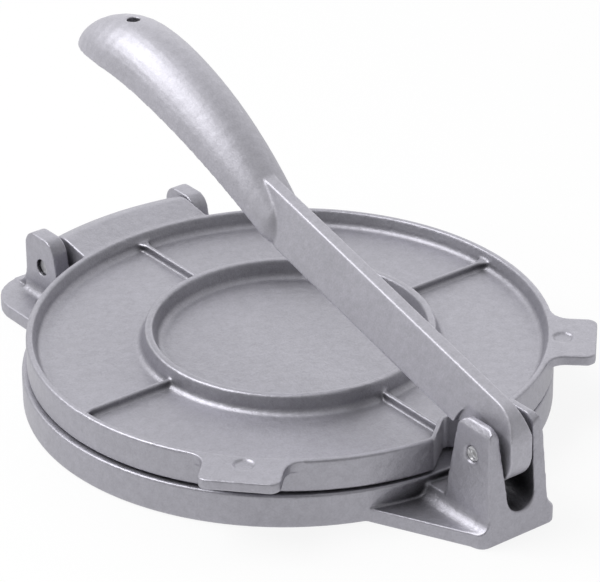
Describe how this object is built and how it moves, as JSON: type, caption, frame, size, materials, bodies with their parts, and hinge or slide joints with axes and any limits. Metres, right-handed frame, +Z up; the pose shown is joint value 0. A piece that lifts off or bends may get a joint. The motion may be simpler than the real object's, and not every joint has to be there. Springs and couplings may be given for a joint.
{
  "type": "tortilla press",
  "caption": "Cast aluminium tortilla press: round base and ribbed lid hinged at the back, and a long pressing lever with a half-round handle on a front bracket.",
  "frame": {"origin": "centre of the round plates, on the table", "axes": "+Z up, +Y towards the hinge at the back, -Y towards the lever's bracket at the front, hinge and pivot axes along X"},
  "size_m": [0.214, 0.2835, 0.1287],
  "materials": {
    "cast_aluminium": "silver grey, satin, as cast",
    "steel_pin": "drawn steel, cut ends"
  },
  "bodies": {
    "base": {"base": "cast_aluminium", "lever_pin": "steel_pin", "hinge_pin_left": "steel_pin", "hinge_pin_right": "steel_pin"},
    "lid": {"lid": "cast_aluminium"},
    "lever": {"lever": "cast_aluminium"}
  },
  "joints": [
    {"name": "lever_swing", "type": "hinge", "parent": "base", "child": "lever", "pos_m": [0, -0.1298, 0.0345], "axis": [1, 0, 0], "range_deg": [0, 160]},
    {"name": "lid_hinge", "type": "hinge", "parent": "base", "child": "lid", "pos_m": [0, 0.1185, 0.0195], "axis": [-1, 0, 0], "range_deg": [0, 105]}
  ],
  "couplings": [
    {"joint": "lid_hinge", "follows": "lever_swing", "ratio": 0.3}
  ]
}
